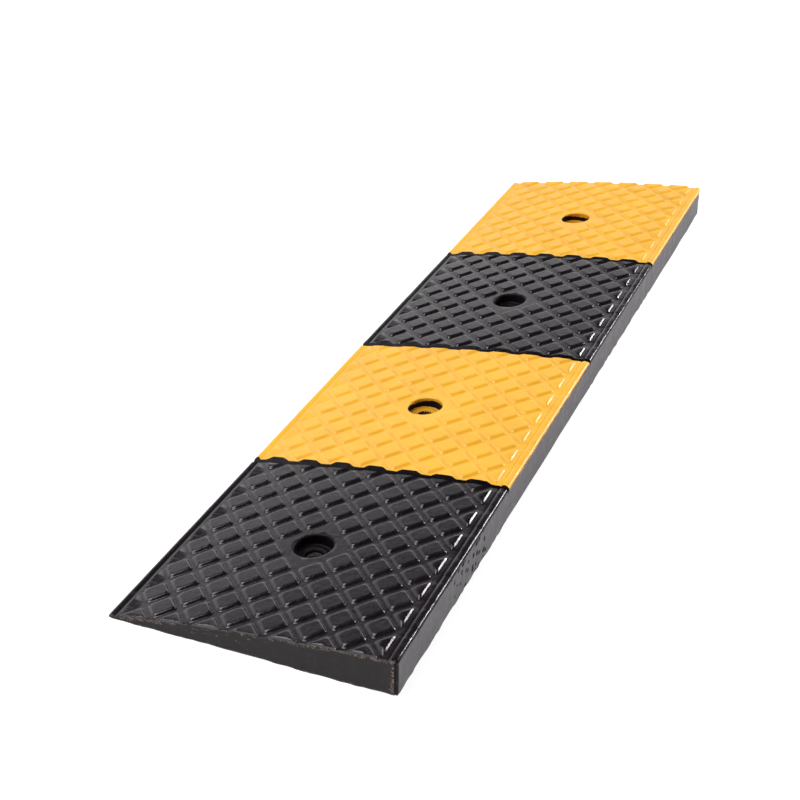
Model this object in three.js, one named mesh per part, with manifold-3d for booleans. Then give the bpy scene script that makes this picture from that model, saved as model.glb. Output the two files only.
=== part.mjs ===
// Rubber kerb ramp: a one-sided rubber speed bump that lies against a kerb or a door step.
// One black moulded body carries two yellow rubber facings, and a steel washer sits under
// the floor of each bolt pocket, with its inner edge showing in the bolt hole.
// Lengths are millimetres. X runs across the strip from its thin edge to its high edge,
// Y runs along it, Z is up, and the origin is the middle of the underside.

import * as THREE from "three";
import { mergeGeometries, mergeVertices } from "three/addons/utils/BufferGeometryUtils.js";
import Module from "manifold-3d";

const wasm = await Module();
wasm.setup();

// Overall strip
const LENGTH = 1000;
const WIDTH = 250;
const PANELS = 4;
const THIN_EDGE = 2.6; // height of the plain surface at the thin edge
const HIGH_EDGE = 33.5; // height of the plain surface at the high edge
const CROWN = 3.6; // rise of the surface above a straight slope, half way across
const CROWN_STEPS = 4;

// Tread
const CELLS = 7; // diamond cells across a panel, and along it
const FIELD_WIDTH = 230; // the band across the strip that carries diamonds
const FIELD_MIDDLE = -2.5; // its middle, also the line of the bolt pockets
const CHANNEL = 5.5; // width between neighbouring diamonds
const PAD_HEIGHT = 2.2;
const ROOT = 0.5; // how deep raised features start inside their carrier

// Rims along the thin and the high edge
const THIN_RIM_WIDTH = 6;
const HIGH_RIM_WIDTH = 8.5;
const RIM_HEIGHT = 1.5;
const RIM_GROOVE = 1;
const RIM_GROOVE_DEPTH = 0.6;

// V-shaped seams between panels, wide and shallow at the thin edge
const SEAM_OPENING_THIN = 11; // width between the diamonds' tops
const SEAM_OPENING_HIGH = 6.5;
const SEAM_DEPTH_THIN = 1.7; // from the plain surface down to the bottom line
const SEAM_DEPTH_HIGH = 5;
const SEAM_OVERSHOOT = 4; // how far the cutter reaches above the plain surface

// Yellow facings
const FACING = 1; // thickness below the plain surface
const GAP = 0.3; // left between touching pieces
const YELLOW_PANELS = [1, 3];

// Bolt pockets
const POCKET_RADIUS = 17;
const POCKET_FLOOR = 11;
const BORE_RADIUS = 7.5;
const WASHER_RADIUS = 15;
const WASHER_HOLE_RADIUS = 6.5;
const WASHER_THICKNESS = 2.5;
const WASHER_COVER = 2; // rubber left between the washer and the pocket's floor
const OVERRUN = 10; // how far a cutter runs past the faces that it opens

const HALF_WIDTH = WIDTH / 2;
const HALF_LENGTH = LENGTH / 2;
const PANEL = LENGTH / PANELS;
const FIELD_START = FIELD_MIDDLE - FIELD_WIDTH / 2;
const FIELD_END = FIELD_MIDDLE + FIELD_WIDTH / 2;
const CELL_X = FIELD_WIDTH / CELLS;
const CELL_Y = PANEL / CELLS;
const WASHER_TOP = POCKET_FLOOR - WASHER_COVER;

// A closed geometry as a solid that can be joined and cut.
function solidOf(geometry) {
  const bare = geometry.clone();
  bare.deleteAttribute("normal");
  bare.deleteAttribute("uv");
  const merged = mergeVertices(bare, 1e-4);
  const vertProperties = new Float32Array(merged.attributes.position.array);
  const triVerts = new Uint32Array(merged.index.array);
  return new wasm.Manifold(new wasm.Mesh({ numProp: 3, vertProperties, triVerts }));
}

function geometryOf(solid) {
  const mesh = solid.getMesh();
  const geometry = new THREE.BufferGeometry();
  geometry.setAttribute("position", new THREE.BufferAttribute(mesh.vertProperties, 3));
  geometry.setIndex(new THREE.BufferAttribute(mesh.triVerts, 1));
  return geometry;
}

// A value that runs evenly from the thin edge to the high edge.
function across(thin, high, x) {
  return thin + ((high - thin) * (x + HALF_WIDTH)) / WIDTH;
}

// Height of the crowned surface at x, moved by one offset at each edge of the strip.
function heightAt(x, offsets) {
  const slope = across(THIN_EDGE + offsets.thin, HIGH_EDGE + offsets.high, x);
  const fromMiddle = x / HALF_WIDTH;
  return slope + CROWN * (1 - fromMiddle * fromMiddle);
}

function level(offset) {
  return { thin: offset, high: offset };
}

// Adds the crowned line from x0 to x1: a parabola, which one quadratic curve draws exactly.
// Its control point lies where the two end tangents meet.
function addCrownedLine(shape, x0, x1, at) {
  const middle = (x0 + x1) / 2;
  const chord = (heightAt(x0, at) + heightAt(x1, at)) / 2;
  const sagitta = heightAt(middle, at) - chord;
  shape.lineTo(x0, heightAt(x0, at));
  shape.quadraticCurveTo(middle, chord + 2 * sagitta, x1, heightAt(x1, at));
}

// Extrudes a cross-section drawn in X and Z along Y, from y0 to y1.
function extrudeAlong(shape, y0, y1, curveSegments) {
  const geometry = new THREE.ExtrudeGeometry(shape, {
    depth: y1 - y0,
    bevelEnabled: false,
    curveSegments,
  });
  geometry.rotateX(Math.PI / 2);
  geometry.translate(0, y1, 0);
  return geometry;
}

// The layer between two crowned surfaces, from x0 to x1.
function layerGeometry(x0, x1, y0, y1, bottom, top, steps = CROWN_STEPS) {
  const shape = new THREE.Shape();
  shape.moveTo(x0, heightAt(x0, bottom));
  addCrownedLine(shape, x0, x1, bottom);
  addCrownedLine(shape, x1, x0, top);
  return extrudeAlong(shape, y0, y1, steps);
}

function layer(x0, x1, y0, y1, bottom, top, steps) {
  return solidOf(layerGeometry(x0, x1, y0, y1, bottom, top, steps));
}

// The wedge from the flat underside up to a crowned surface.
function wedge(y0, y1, top) {
  const shape = new THREE.Shape();
  shape.moveTo(-HALF_WIDTH, 0);
  shape.lineTo(HALF_WIDTH, 0);
  addCrownedLine(shape, HALF_WIDTH, -HALF_WIDTH, top);
  return solidOf(extrudeAlong(shape, y0, y1, CROWN_STEPS));
}

// An upright cylinder on the line of the bolt pockets.
function upright(radius, bottom, top, y, segments) {
  const geometry = new THREE.CylinderGeometry(radius, radius, top - bottom, segments);
  geometry.rotateX(Math.PI / 2);
  geometry.translate(FIELD_MIDDLE, y, (bottom + top) / 2);
  return solidOf(geometry);
}

// A diamond cell shrunk by half a channel on each side.
function padOutline() {
  const halfX = CELL_X / 2;
  const halfY = CELL_Y / 2;
  const toSide = (halfX * halfY) / Math.hypot(halfX, halfY);
  const scale = (toSide - CHANNEL / 2) / toSide;
  return new THREE.Shape([
    new THREE.Vector2(halfX * scale, 0),
    new THREE.Vector2(0, halfY * scale),
    new THREE.Vector2(-halfX * scale, 0),
    new THREE.Vector2(0, -halfY * scale),
  ]);
}

// Centres of one panel's diamonds: two interleaved grids, without the four round the hole.
function padCentres(start) {
  const centres = [];
  for (let row = 0; row <= 2 * CELLS; row++) {
    for (let column = row % 2 === 0 ? 1 : 0; column <= 2 * CELLS; column += 2) {
      const besideHole = Math.abs(row - CELLS) + Math.abs(column - CELLS) <= 1;
      if (!besideHole) {
        const x = FIELD_START + (column * CELL_X) / 2;
        const y = start + (row * CELL_Y) / 2;
        centres.push({ x, y });
      }
    }
  }
  return centres;
}

// The diamonds of a panel, following the crowned surface.
function padsOf(start) {
  const pad = new THREE.ExtrudeGeometry(padOutline(), {
    depth: HIGH_EDGE + 2 * OVERRUN,
    bevelEnabled: false,
  });
  pad.translate(0, 0, -OVERRUN);
  const columns = padCentres(start).map((centre) =>
    pad.clone().translate(centre.x, centre.y, 0),
  );
  const field = layer(
    FIELD_START,
    FIELD_END,
    start,
    start + PANEL,
    level(-ROOT),
    level(PAD_HEIGHT),
  );
  return solidOf(mergeGeometries(columns)).intersect(field);
}

function rim(start, x0, x1) {
  return layer(x0, x1, start, start + PANEL, level(-ROOT), level(RIM_HEIGHT), 1);
}

function rimGroove(start, x0, x1) {
  const y0 = start - OVERRUN;
  const y1 = start + PANEL + OVERRUN;
  return layer(x0, x1, y0, y1, level(-RIM_GROOVE_DEPTH), level(OVERRUN), 1);
}

// Puts diamonds and rims on a carrier and cuts the fine groove inside each rim.
function withTread(carrier, start) {
  const thinRimEnd = -HALF_WIDTH + THIN_RIM_WIDTH;
  const highRimStart = HALF_WIDTH - HIGH_RIM_WIDTH;
  return carrier
    .add(padsOf(start))
    .add(rim(start, -HALF_WIDTH, thinRimEnd))
    .add(rim(start, highRimStart, HALF_WIDTH))
    .subtract(rimGroove(start, thinRimEnd, thinRimEnd + RIM_GROOVE))
    .subtract(rimGroove(start, highRimStart - RIM_GROOVE, highRimStart));
}

// Half the width of the seam cutter's top, which gives the stated opening at the diamonds' tops.
function seamReach(x) {
  const opening = across(SEAM_OPENING_THIN, SEAM_OPENING_HIGH, x);
  const depth = across(SEAM_DEPTH_THIN, SEAM_DEPTH_HIGH, x);
  return ((opening / 2) * (depth + SEAM_OVERSHOOT)) / (depth + PAD_HEIGHT);
}

// A V-shaped cutter across the strip: a layer whose lower edges are drawn in to one line and
// whose upper edges are spread to the seam's reach.
function seamCutter(y) {
  const bottom = { thin: -SEAM_DEPTH_THIN, high: -SEAM_DEPTH_HIGH };
  const end = HALF_WIDTH + OVERRUN;
  const geometry = layerGeometry(-end, end, -1, 1, bottom, level(SEAM_OVERSHOOT));
  const position = geometry.attributes.position;
  for (let i = 0; i < position.count; i++) {
    const x = position.getX(i);
    const above = position.getZ(i) > heightAt(x, level(0));
    const reach = above ? seamReach(x) : 0;
    position.setY(i, y + position.getY(i) * reach);
  }
  return solidOf(geometry);
}

function panelStart(index) {
  return -HALF_LENGTH + index * PANEL;
}

function panelCentre(index) {
  return panelStart(index) + PANEL / 2;
}

const ALL_PANELS = Array.from({ length: PANELS }, (_, index) => index);

function cutSeams(solid) {
  return ALL_PANELS.slice(1).reduce(
    (left, index) => left.subtract(seamCutter(panelStart(index))),
    solid,
  );
}

// Pocket for the bolt head, hole for the bolt, and the undercut that holds the washer.
function boltPocketCutter(index) {
  const y = panelCentre(index);
  const ceiling = HIGH_EDGE + OVERRUN;
  const undercutBottom = WASHER_TOP - WASHER_THICKNESS - GAP;
  return upright(POCKET_RADIUS, POCKET_FLOOR, ceiling, y, 40)
    .add(upright(BORE_RADIUS, -OVERRUN, ceiling, y, 32))
    .add(upright(WASHER_RADIUS + GAP, undercutBottom, WASHER_TOP + GAP, y, 40));
}

function rubberBody() {
  const underFacing = level(-FACING - GAP);
  let body = wedge(-HALF_LENGTH, HALF_LENGTH, underFacing);
  for (const index of ALL_PANELS) {
    if (!YELLOW_PANELS.includes(index)) {
      const start = panelStart(index);
      body = withTread(body.add(wedge(start, start + PANEL, level(0))), start);
    }
  }
  body = cutSeams(body);
  for (const index of ALL_PANELS) {
    body = body.subtract(boltPocketCutter(index));
  }
  return body;
}

function yellowFacing(index) {
  const start = panelStart(index);
  const plate = layer(
    -HALF_WIDTH,
    HALF_WIDTH,
    start,
    start + PANEL,
    level(-FACING),
    level(0),
  );
  return cutSeams(withTread(plate, start)).subtract(boltPocketCutter(index));
}

function washer(index) {
  const y = panelCentre(index);
  const bottom = WASHER_TOP - WASHER_THICKNESS;
  const disc = upright(WASHER_RADIUS, bottom, WASHER_TOP, y, 40);
  const hole = upright(WASHER_HOLE_RADIUS, bottom - OVERRUN, WASHER_TOP + OVERRUN, y, 32);
  return disc.subtract(hole);
}

const blackRubber = { color: 0x2c2b2d, roughness: 0.62, metalness: 0 };
const yellowRubber = { color: 0xffb52e, roughness: 0.42, metalness: 0 };
const zincSteel = { color: 0xb9bcc0, roughness: 0.38, metalness: 0.9 };

function addPiece(group, name, solid, finish) {
  const mesh = new THREE.Mesh(geometryOf(solid), new THREE.MeshStandardMaterial(finish));
  mesh.name = name;
  group.add(mesh);
}

const ramp = new THREE.Group();
addPiece(ramp, "rubber_body", rubberBody(), blackRubber);
addPiece(ramp, "front_yellow_facing", yellowFacing(YELLOW_PANELS[0]), yellowRubber);
addPiece(ramp, "rear_yellow_facing", yellowFacing(YELLOW_PANELS[1]), yellowRubber);
for (const index of ALL_PANELS) {
  addPiece(ramp, `bolt_washer_${index + 1}`, washer(index), zincSteel);
}

export default ramp;
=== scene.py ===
import math

import bpy
import numpy as np
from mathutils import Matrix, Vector


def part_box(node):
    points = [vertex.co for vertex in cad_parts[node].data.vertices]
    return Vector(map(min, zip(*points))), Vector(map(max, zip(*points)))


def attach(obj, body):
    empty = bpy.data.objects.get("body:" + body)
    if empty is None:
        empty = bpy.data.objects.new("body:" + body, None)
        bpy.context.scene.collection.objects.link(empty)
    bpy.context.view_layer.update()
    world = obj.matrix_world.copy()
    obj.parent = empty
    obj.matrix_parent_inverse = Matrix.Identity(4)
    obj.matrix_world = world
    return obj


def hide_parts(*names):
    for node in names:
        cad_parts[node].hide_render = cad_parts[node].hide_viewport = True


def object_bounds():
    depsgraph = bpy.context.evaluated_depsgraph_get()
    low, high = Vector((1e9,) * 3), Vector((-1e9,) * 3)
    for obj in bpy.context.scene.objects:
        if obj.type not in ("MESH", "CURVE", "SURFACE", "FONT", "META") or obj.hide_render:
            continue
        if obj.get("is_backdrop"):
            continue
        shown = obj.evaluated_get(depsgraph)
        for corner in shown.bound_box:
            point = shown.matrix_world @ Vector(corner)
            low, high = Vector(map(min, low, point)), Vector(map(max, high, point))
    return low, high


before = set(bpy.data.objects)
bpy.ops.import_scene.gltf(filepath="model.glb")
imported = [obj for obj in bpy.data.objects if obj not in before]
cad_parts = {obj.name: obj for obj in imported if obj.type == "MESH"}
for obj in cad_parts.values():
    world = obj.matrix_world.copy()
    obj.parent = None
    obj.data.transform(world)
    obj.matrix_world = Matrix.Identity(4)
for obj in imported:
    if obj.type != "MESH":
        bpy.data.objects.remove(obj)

# Rubber kerb ramp: one black moulded body, two yellow rubber facings moulded on it, and a steel
# washer under each bolt pocket. X runs from the thin edge to the high edge, Y along the strip.

bl_info = {
    "name": "Rubber Kerb Ramp",
    "version": (1, 0, 0),
    "blender": (4, 5, 0),
    "location": "3D View > Sidebar > Kerb Ramp",
    "description": "Builds a one-sided rubber kerb ramp with a diamond tread",
    "category": "Mesh",
}

MM = 0.001
STEPS = 11  # grid steps from the middle of a channel to the middle of a diamond
WALL_STEP = 5  # the step that lies on the diamond's wall
CAD_LOW, CAD_HIGH = (np.array(corner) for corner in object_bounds())
PANELS = 4
YELLOW_PANELS = {"front_yellow_facing": 1, "rear_yellow_facing": 3}
WASHERS = [f"bolt_washer_{number + 1}" for number in range(PANELS)]
CELLS = 7  # diamonds across a panel, and along it
HALF_CELLS = 2 * CELLS
WASHER_HOLE = 13 * MM  # across
ROOM = 0.3 * MM  # left round a washer
UNPAINTED = -9.0  # millimetres outside the yellow
# The fourth is a darker, duller copy of the tread rubber: its darkness is painted shade in the
# seams, the pockets, the rim's roll and the corners.
TREAD, WALL, END, SHADED_DULL = range(4)  # the body's materials
BODY = "root"


def node_box(name):
    return (np.array(corner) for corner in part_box(name))


def node_middle(name):
    low, high = node_box(name)
    return (low + high) / 2


BOLT_LINE = float(node_middle(WASHERS[0])[0])
PANEL = float(CAD_HIGH[1] - CAD_LOW[1]) / PANELS
FIELD = 230 * MM  # the tread's width
FIELD_START = BOLT_LINE - FIELD / 2
FIELD_END = BOLT_LINE + FIELD / 2
HALF_X = FIELD / HALF_CELLS
HALF_Y = PANEL / HALF_CELLS
TO_MIDDLE = HALF_X * HALF_Y / math.hypot(HALF_X, HALF_Y)


# ------------------------------------------------------------------ sizes and colours


def length(name, description, millimetres):
    return bpy.props.FloatProperty(
        name=name, description=description, default=millimetres * MM, unit="LENGTH", precision=5
    )


def colour(name, description, *value):
    return bpy.props.FloatVectorProperty(
        name=name, description=description, default=value, size=3, subtype="COLOR", min=0, max=1
    )


class KerbRampSizes(bpy.types.PropertyGroup):
    """Sizes of the strip's relief that a maker would change."""

    thin_edge: length("Thin edge", "Height of the plain surface at the thin edge", 2.6)
    high_edge: length("High edge", "Height of the plain surface at the high edge", 33.6)
    crown: length("Crown", "Rise of the surface above a straight slope, half way across", 3.6)
    channel: length("Channel", "Width between neighbouring diamonds", 5.5)
    pad_height: length("Diamond height", "Height of the diamonds above the channels", 2.0)
    pad_corner: length("Diamond corner", "Corner radius of the diamonds, seen from above", 2.6)
    pad_softness: length("Diamond edge", "Width over which a diamond's wall rises", 2.2)
    facing: length("Facing", "Thickness of the yellow facings below the plain surface", 1.2)
    bedding: length("Bedding", "Room left under the yellow facings", 0.1)
    pocket_radius: length("Pocket radius", "Radius of the bolt pockets", 16.8)
    pocket_floor: length("Pocket floor", "Height of the bolt pockets' floor", 11)
    bore_radius: length("Bore radius", "Radius of the bolt hole in the rubber", 7.5)
    seam_thin: length("Seam at thin edge", "Width of a seam at the thin edge", 11)
    seam_high: length("Seam at high edge", "Width of a seam at the high edge", 6.5)
    seam_depth_thin: length("Seam depth, thin", "Depth of a seam at the thin edge", 1.7)
    seam_depth_high: length("Seam depth, high", "Depth of a seam at the high edge", 5)


class KerbRampColours(bpy.types.PropertyGroup):
    """Colours of the rubbers and the steel."""

    black: colour("Black", "Black tread rubber", 0.0072, 0.0048, 0.0075)
    # The wall's grey is the same black rubber lightened as painted light, for the light it catches
    # from the side.
    wall: colour("Wall", "Dusty black rubber of the upright wall", 0.068, 0.06, 0.068)
    end: colour("End", "Brownish rubber of the sawn end faces", 0.017, 0.0135, 0.0142)
    # Pale brownish colour for dust, scuffs and specks, and for the painted highlight along the
    # diamonds' far edges.
    dust_and_highlight: colour("Dust", "Brownish dust on the black rubber", 0.13, 0.1, 0.095)
    crumbs: colour("Crumbs", "Pale torn crumbs along the end faces' edges", 0.25, 0.185, 0.155)
    yellow: colour("Yellow", "Yellow facing rubber", 0.94, 0.485, 0.034)
    orange: colour("Orange", "Yellow rubber where it is thin", 0.8, 0.25, 0.01)
    # Zinc darkened to near black as painted shade of the bolt pocket.
    zinc: colour("Zinc", "Dusty zinc plated steel", 0.07, 0.068, 0.066)
    floor: colour("Floor", "Pale studio floor", 0.6, 0.6, 0.6)


class KerbRampStage(bpy.types.PropertyGroup):
    """Camera and lights."""

    camera_place: bpy.props.FloatVectorProperty(
        name="Camera", description="Place of the camera", size=3, subtype="TRANSLATION",
        default=(0.4523, -1.2767, 0.7392), precision=4,
    )
    camera_turn: bpy.props.FloatVectorProperty(
        name="Turn", description="Turn of the camera about X, Y and Z", size=3, subtype="EULER",
        default=tuple(math.radians(angle) for angle in (60.12, 0.14, 22.6)),
    )
    lens: bpy.props.FloatProperty(
        name="Lens", description="Focal length in millimetres on a 36 mm sensor", default=66.8
    )
    horizon: bpy.props.FloatProperty(
        name="Horizon", description="Brightness of the white backdrop round the floor", default=1.05
    )
    ceiling: bpy.props.FloatProperty(
        name="Ceiling", description="Brightness of the studio above the backdrop", default=0.05
    )
    floor_glow: bpy.props.FloatProperty(
        name="Floor glow", description="Light given off by the lit floor table", default=0.76
    )


# ------------------------------------------------------------------ surfaces as arrays


def lumps(points, size, seed):
    """Smooth random values from -1 to 1 at each point. Random values sit at the corners of a
    cubic lattice of the given size, and each point takes the smoothstep-weighted mean of the
    eight corners round it."""
    side = 24
    table = np.random.default_rng(seed).uniform(-1, 1, (side, side, side))
    place = np.asarray(points) / size
    cell = np.floor(place).astype(int)
    share = place - cell
    share = share * share * (3 - 2 * share)
    total = 0
    for corner in np.ndindex(2, 2, 2):
        weight = np.prod(np.where(np.array(corner) == 1, share, 1 - share), axis=-1)
        at = (cell + np.array(corner)) % side
        total = total + weight * table[at[..., 0], at[..., 1], at[..., 2]]
    return total


def smoothstep(value, low, high):
    """0 up to low and 1 from high on, with 3t^2 - 2t^3 between them."""
    share = np.clip((value - low) / (high - low), 0, 1)
    return share * share * (3 - 2 * share)


def across(thin, high, x):
    """A value that runs evenly from the thin edge to the high edge."""
    return thin + (high - thin) * (x - CAD_LOW[0]) / (CAD_HIGH[0] - CAD_LOW[0])


def plain_height(x, sizes):
    """Height of the plain surface: a straight slope from edge to edge, plus a parabola that is
    zero at both edges and the crown half way."""
    from_middle = x / CAD_HIGH[0]
    return across(sizes.thin_edge, sizes.high_edge, x) + sizes.crown * (1 - from_middle**2)


def drawn_to_walls(lattice, sizes):
    """Moves evenly spaced lattice values towards the diamonds' walls. Even whole numbers are
    the channels' middle lines and odd ones the diamonds' middles. The distance from the nearest
    channel goes through two cubics that meet at the wall, where both have a small slope."""
    line = 2 * np.round(lattice / 2)
    away = np.abs(lattice - line)
    wall_at, slope = WALL_STEP / STEPS, 0.3
    wall = sizes.channel / 2 / TO_MIDDLE
    inner = (wall - slope * wall_at) / wall_at**3
    outer = (1 - wall - slope * (1 - wall_at)) / (1 - wall_at) ** 3
    step = away - wall_at
    moved = wall + slope * step + np.where(step < 0, inner, outer) * step**3
    return line + np.sign(lattice - line) * moved


def pad_relief(u, v, softness, sizes):
    """Height of the diamonds above the plain surface at lattice place u, v, in half cells from
    the panel's corner. u + v and u - v are even along the channels. The distance from a
    diamond's outline is the smallest one to its two nearest walls and to the line where the
    half diamonds stop, rounded at the corners as radius minus the hypotenuse. The height rises
    over it as a straight ramp mixed with a longer smoothstep, which rounds foot and edge."""
    sums = np.stack([u + v, u - v])
    middle = 2 * np.floor(np.clip(sums, -HALF_CELLS + 1e-9, 2 * HALF_CELLS - 1e-9) / 2) + 1
    inside = (1 - np.abs(sums - middle)) * TO_MIDDLE - sizes.channel / 2
    from_stop = np.minimum(u * HALF_X - THIN_STOP, FIELD - HIGH_STOP - u * HALF_X)
    inside = np.concatenate([inside, from_stop[None]])
    short = np.clip(sizes.pad_corner - inside, 0, None)
    rounded = sizes.pad_corner - np.sqrt((short**2).sum(axis=0))
    distance = np.where((short > 0).sum(axis=0) > 1, rounded, inside.min(axis=0))
    column, row = (middle[0] + middle[1]) / 2, (middle[0] - middle[1]) / 2
    at_pocket = np.abs(row - CELLS) + np.abs(column - CELLS) < 1.5
    share = distance / softness + 0.5
    rise = 0.65 * np.clip(share, 0, 1) + 0.35 * smoothstep(share, -0.25, 1.25)
    return np.where(at_pocket, 0, rise * sizes.pad_height)


THIN_MARGIN = np.array([  # distance from the thin edge, height above the plain surface
    (0.0, -0.9), (0.15, -0.3), (0.45, 0.35), (0.9, 0.85), (1.5, 1.25), (2.3, 1.5), (3.2, 1.5),
    (4.2, 1.2), (5.2, 0.7), (6.0, 0.2), (6.5, -0.1), (6.9, -0.15), (7.4, 0.0),
]) * MM  # fmt: skip
HIGH_MARGIN = np.array([  # distance from the high edge, height above the plain surface
    (11.5, 0.0), (9.0, 0.0), (8.6, -0.1), (8.2, -0.4), (7.9, -0.4), (7.6, 0.0), (7.3, 0.4),
    (6.9, 0.7), (6.2, 0.95), (5.2, 1.05), (4.2, 0.98), (3.2, 0.75), (2.4, 0.45), (1.9, 0.2),
    (1.5, -0.05), (1.2, -0.3), (0.95, -0.58), (0.75, -0.9), (0.6, -1.2), (0.45, -1.55),
    (0.25, -1.8), (0.0, -2.1),
]) * MM  # fmt: skip
THIN_STOP = 2.8 * MM  # how far inside the field the half diamonds stop
HIGH_STOP = 0.8 * MM
STOP_COLUMNS = np.array([-1.1, -0.75, -0.35, 0.0, 0.4, 0.9, 1.5]) * MM  # inwards is negative
THIN_COLUMNS_OUT = 6  # grid columns that make room for these
HIGH_COLUMNS_OUT = 2


def margin_columns():
    """X of the extra columns outside the field, thin side then high side, edge to field and
    field to edge."""
    thin_stop = FIELD_START + THIN_STOP - STOP_COLUMNS[::-1]
    high_stop = FIELD_END - HIGH_STOP + STOP_COLUMNS
    thin = np.concatenate([CAD_LOW[0] + THIN_MARGIN[:, 0], thin_stop])
    high = np.concatenate([high_stop, CAD_HIGH[0] - HIGH_MARGIN[:, 0]])
    return thin, high


def margin_relief(x):
    """Height of the rims and of the fine grooves inside them, drawn through their outline."""
    low = np.interp(x - CAD_LOW[0], *THIN_MARGIN.T, right=0)
    high = np.interp(CAD_HIGH[0] - x, *HIGH_MARGIN[::-1].T, right=0)
    return low + high


def panel_places(start, row_values, sizes):
    """X, Y, u and v of a panel's grid points, one row for each lattice value along it. Columns
    are evenly spaced in u before the field is drawn to the walls, with the margins' columns on
    both sides."""
    u, v = np.meshgrid(np.arange(HALF_CELLS * STEPS + 1) / STEPS, row_values)
    sums = drawn_to_walls(u + v, sizes), drawn_to_walls(u - v, sizes)
    u, v = (sums[0] + sums[1]) / 2, (sums[0] - sums[1]) / 2
    u, v = (values[:, THIN_COLUMNS_OUT:-HIGH_COLUMNS_OUT] for values in (u, v))
    thin, high = (np.broadcast_to(x, (len(row_values), len(x))) for x in margin_columns())
    edge = np.broadcast_to(v[:, :1], thin.shape), np.broadcast_to(v[:, -1:], high.shape)
    x = np.hstack([thin, FIELD_START + u * HALF_X, high])
    v = np.hstack([edge[0], v, edge[1]])
    return x, start + v * HALF_Y, (x - FIELD_START) / HALF_X, v


def tread_points(index, softness, seed, sizes):
    """A panel's top as a grid of points: plain surface, diamonds, rims and grooves, and small
    unevenness of each diamond and of the whole skin."""
    start = CAD_LOW[1] + index * PANEL
    rows = np.arange(HALF_CELLS * STEPS + 1) / STEPS
    x, y, u, v = panel_places(start, rows, sizes)
    pads = pad_relief(np.clip(u, 0, HALF_CELLS), v, softness, sizes)
    flat = np.stack([x, y, np.zeros_like(x)], axis=-1)
    pads = pads * (1 + 0.05 * lumps(flat, 34 * MM, seed))
    skin = 0.05 * MM * lumps(flat, 4 * MM, seed + 1) + 0.12 * MM * lumps(flat, 19 * MM, seed + 2)
    z = plain_height(x, sizes) + pads + margin_relief(x) + skin
    return np.stack([x, y, np.minimum(z, CAD_HIGH[2])], axis=-1)


END_EDGE = np.array([(0.0, -0.45), (0.06, -0.22), (0.16, -0.08), (0.3, 0.0)]) * MM


def with_rounded_end(top, outer_row):
    """Adds rows outside the lattice at one end of the strip: distance from the end and drop,
    so that the tread's end edge is rounded."""
    row = top[outer_row]
    inwards = -np.sign(row[0, 1])
    rows = np.repeat(row[None], len(END_EDGE), axis=0)
    rows[..., 1] += inwards * END_EDGE[:, :1]
    rows[..., 2] += END_EDGE[:, 1:]
    return np.concatenate([rows, top[1:]] if outer_row == 0 else [top[:-1], rows[::-1]])


def weathered_ends(points):
    """Rounds the strip's four corners in plan and makes its end edges wavy. In a corner the
    square round its centre becomes a circle: each point is scaled by the larger of its two
    distances over their hypotenuse."""
    place = points.copy()
    from_end = (CAD_HIGH[1] - np.abs(place[..., 1])) / MM
    along = np.stack([place[..., 0], np.sign(place[..., 1]), 0 * from_end], axis=-1)
    wave = 0.35 * (lumps(along, 17 * MM, 30) + 1) + 0.2 * (lumps(along, 5 * MM, 31) + 1)
    fade = np.exp(-from_end / 1.6)
    place[..., 1] -= np.sign(place[..., 1]) * wave * fade * MM
    place[..., 2] -= 0.25 * wave * fade * MM
    for side_x, radius in ((1, 5 * MM), (-1, 2.2 * MM)):
        for side_y in (1, -1):
            side = np.array([side_x, side_y])
            centre = side * (CAD_HIGH[:2] - radius)
            away = (place[..., :2] - centre) * side
            scale = away.max(axis=-1) / np.maximum(np.hypot(away[..., 0], away[..., 1]), 1e-9)
            scale = np.where(away.min(axis=-1) > 0, scale, 1)
            place[..., :2] = centre + side * away * scale[..., None]
    return place


def recess_points(index, sizes):
    """The bed of a yellow facing: the plain surface, lowered by the facing's thickness."""
    start = CAD_LOW[1] + index * PANEL
    x = panel_places(start, [0.0], sizes)[0]
    y = np.linspace(start, start + PANEL, 9)[:, None]
    y[0] += 0.02 * MM
    y[-1] -= 0.02 * MM
    x, y = np.broadcast_arrays(x, y)
    return np.stack([x, y, plain_height(x, sizes) - sizes.facing - sizes.bedding], axis=-1)


def top_triangles(rows, columns, along_sum):
    """Two triangles for each square of a grid. Where along_sum is true the square is split
    between its lower right and upper left corner, else between the other two."""
    at = np.arange(rows * columns).reshape(rows, columns)
    a, b, c, d = at[:-1, :-1], at[:-1, 1:], at[1:, 1:], at[1:, :-1]
    one = np.where(along_sum[..., None], np.stack([a, b, d], -1), np.stack([a, b, c], -1))
    two = np.where(along_sum[..., None], np.stack([b, c, d], -1), np.stack([a, c, d], -1))
    return np.concatenate([one.reshape(-1, 3), two.reshape(-1, 3)])


def nearer_sum_wall(points, sizes):
    """True for the squares of a grid whose nearest diamond wall runs along u + v."""
    middle = (points[:-1, :-1] + points[1:, 1:]) / 2
    u = np.clip((middle[..., 0] - FIELD_START) / HALF_X, 0, HALF_CELLS)
    v = ((middle[..., 1] - CAD_LOW[1]) % PANEL) / HALF_Y
    wall = sizes.channel / 2 / TO_MIDDLE
    gaps = [np.abs(np.abs(s - 2 * np.round(s / 2)) - wall) for s in (u + v, u - v)]
    return gaps[0] < gaps[1]


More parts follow.
